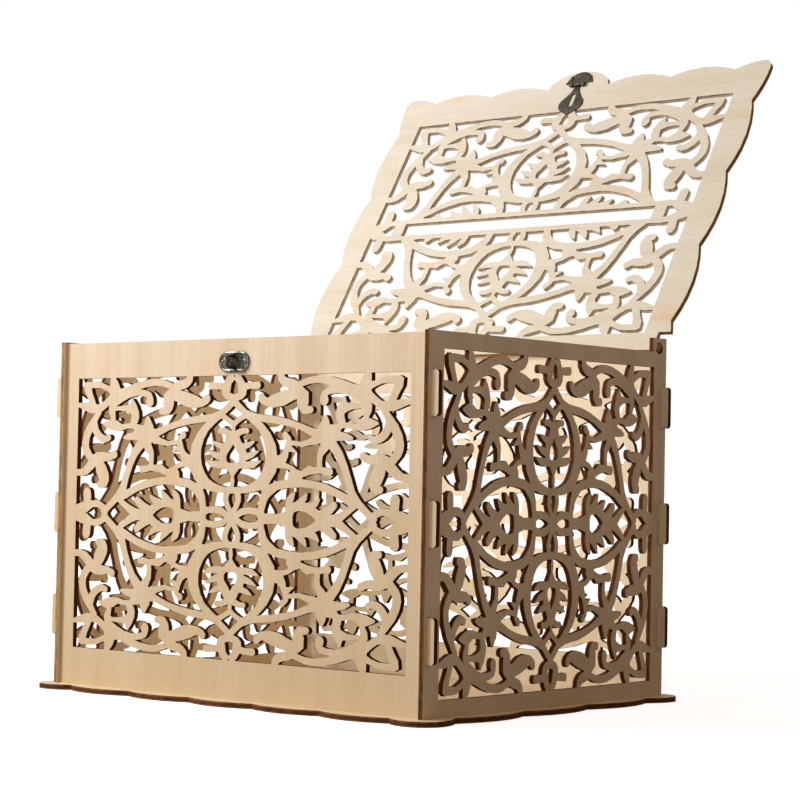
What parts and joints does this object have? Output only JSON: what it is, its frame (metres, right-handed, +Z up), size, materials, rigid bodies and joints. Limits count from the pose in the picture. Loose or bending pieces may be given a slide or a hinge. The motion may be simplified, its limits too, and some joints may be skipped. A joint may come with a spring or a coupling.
{
  "type": "card box",
  "caption": "Pierced plywood card box with a scalloped base and hinged lid, a card slot, and a hasp and staple.",
  "frame": {"origin": "centre of the base board's underside, midway between the four walls", "axes": "+X to the right along the front, +Y from the front to the rear, +Z up"},
  "size_m": [0.3, 0.3416, 0.3992],
  "materials": {
    "plywood": "satin",
    "dark_steel": "satin",
    "bright_steel": "polished"
  },
  "bodies": {
    "box": {"base_board": "plywood", "front_panel": "plywood", "back_panel": "plywood", "left_panel": "plywood", "right_panel": "plywood", "catch_plate": "bright_steel", "catch_staple": "bright_steel", "catch_screws": "bright_steel"},
    "lid": {"lid": "plywood", "hasp_plate": "dark_steel", "hasp_pin": "dark_steel", "hasp_screws": "dark_steel"},
    "strap": {"hasp_strap": "dark_steel"}
  },
  "joints": [
    {"name": "lid_hinge", "type": "hinge", "parent": "box", "child": "lid", "pos_m": [0, 0.1025, 0.2053], "axis": [1, 0, 0], "range_deg": [0, 121.6]},
    {"name": "hasp_hinge", "type": "hinge", "parent": "lid", "child": "strap", "pos_m": [0, 0.21148, 0.3895], "axis": [1, 0, 0], "range_deg": [-170, 0]}
  ]
}
